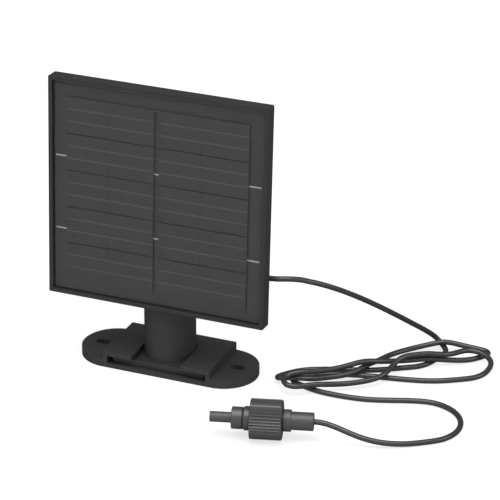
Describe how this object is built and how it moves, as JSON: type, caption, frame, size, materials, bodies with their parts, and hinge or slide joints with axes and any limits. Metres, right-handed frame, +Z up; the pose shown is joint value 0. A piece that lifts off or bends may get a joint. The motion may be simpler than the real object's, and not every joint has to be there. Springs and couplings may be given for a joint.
{
  "type": "solar panel with stand and plug lead",
  "caption": "Small square solar panel on a swivel stand with a screw-down foot, and a coiled cable that ends in a screw-lock power plug.",
  "frame": {"origin": "the post's axis on the underside of the foot", "axes": "+Z up; the cells face -Y; the panel's width and the foot's length run along X"},
  "size_m": [0.2434, 0.1543, 0.1695],
  "materials": {
    "stand_plastic": "moulded black plastic, lightly textured",
    "frame_plastic": "moulded black plastic, satin",
    "knob_plastic": "moulded black plastic",
    "plug_plastic": "black plastic, satin",
    "black_rubber": "soft matte rubber",
    "cable_sheath": "smooth black cable sheath, slight sheen",
    "front_sheet": "clear laminate",
    "solar_silicon": "dark silicon under laminate",
    "tinned_ribbon": "tinned copper ribbon",
    "board_laminate": "black circuit board laminate",
    "fastener_steel": "zinc plated",
    "nickel_plate": "nickel plated brass",
    "insulation": "black insulation",
    "red_insulation": "red wire insulation"
  },
  "bodies": {
    "base": {"foot_plate": "stand_plastic", "cable_coil": "cable_sheath", "plug_barrel": "plug_plastic", "plug_sleeve": "nickel_plate", "plug_insulator": "insulation", "plug_contact": "nickel_plate", "plug_o_ring": "black_rubber", "strain_relief": "plug_plastic"},
    "post": {"post": "stand_plastic"},
    "head": {"swivel_head": "stand_plastic", "swivel_screw": "fastener_steel", "swivel_washer": "fastener_steel"},
    "knob": {"tilt_knob": "knob_plastic"},
    "nut": {"lock_nut": "plug_plastic"},
    "panel": {"panel_bracket": "stand_plastic", "tilt_bolt": "fastener_steel", "tilt_washer": "fastener_steel", "panel_frame": "frame_plastic", "back_cover": "frame_plastic", "backing_board": "board_laminate", "front_sheet": "front_sheet", "junction_box": "frame_plastic", "junction_box_lid": "frame_plastic", "cable_gland": "black_rubber", "blocking_diode": "insulation", "positive_wire": "red_insulation", "negative_wire": "insulation", "cable_lead": "cable_sheath", "bus_ribbon_lower": "tinned_ribbon", "bus_ribbon_upper": "tinned_ribbon", "cell_left_1": "solar_silicon", "cell_left_2": "solar_silicon", "cell_left_3": "solar_silicon", "cell_left_4": "solar_silicon", "cell_left_5": "solar_silicon", "cell_right_1": "solar_silicon", "cell_right_2": "solar_silicon", "cell_right_3": "solar_silicon", "cell_right_4": "solar_silicon", "cell_right_5": "solar_silicon", "bracket_screw_1": "fastener_steel", "bracket_screw_2": "fastener_steel", "bracket_screw_3": "fastener_steel", "bracket_screw_4": "fastener_steel", "cover_screw_1": "fastener_steel", "cover_screw_2": "fastener_steel", "cover_screw_3": "fastener_steel", "cover_screw_4": "fastener_steel", "lid_screw_1": "fastener_steel", "lid_screw_2": "fastener_steel", "lid_screw_3": "fastener_steel", "lid_screw_4": "fastener_steel"}
  },
  "joints": [
    {"name": "post_slide", "type": "slide", "parent": "base", "child": "post", "axis": [0, -1, 0], "range_m": [0, 0.036], "deforming": ["cable_lead"]},
    {"name": "swivel", "type": "hinge", "parent": "post", "child": "head", "pos_m": [0, 0, 0.0385], "axis": [0, 0, 1], "range_deg": [-90, 90], "deforming": ["cable_lead"]},
    {"name": "tilt", "type": "hinge", "parent": "head", "child": "panel", "pos_m": [0, 0, 0.084], "axis": [-1, 0, 0], "range_deg": [-3, 87], "deforming": ["cable_lead"]},
    {"name": "knob_turn", "type": "hinge", "parent": "panel", "child": "knob", "pos_m": [0.015, 0, 0.084], "axis": [1, 0, 0], "continuous": true},
    {"name": "nut_turn", "type": "hinge", "parent": "base", "child": "nut", "pos_m": [0.0836, -0.0613, 0.011], "axis": [0.9598, 0.2807, 0], "continuous": true}
  ]
}
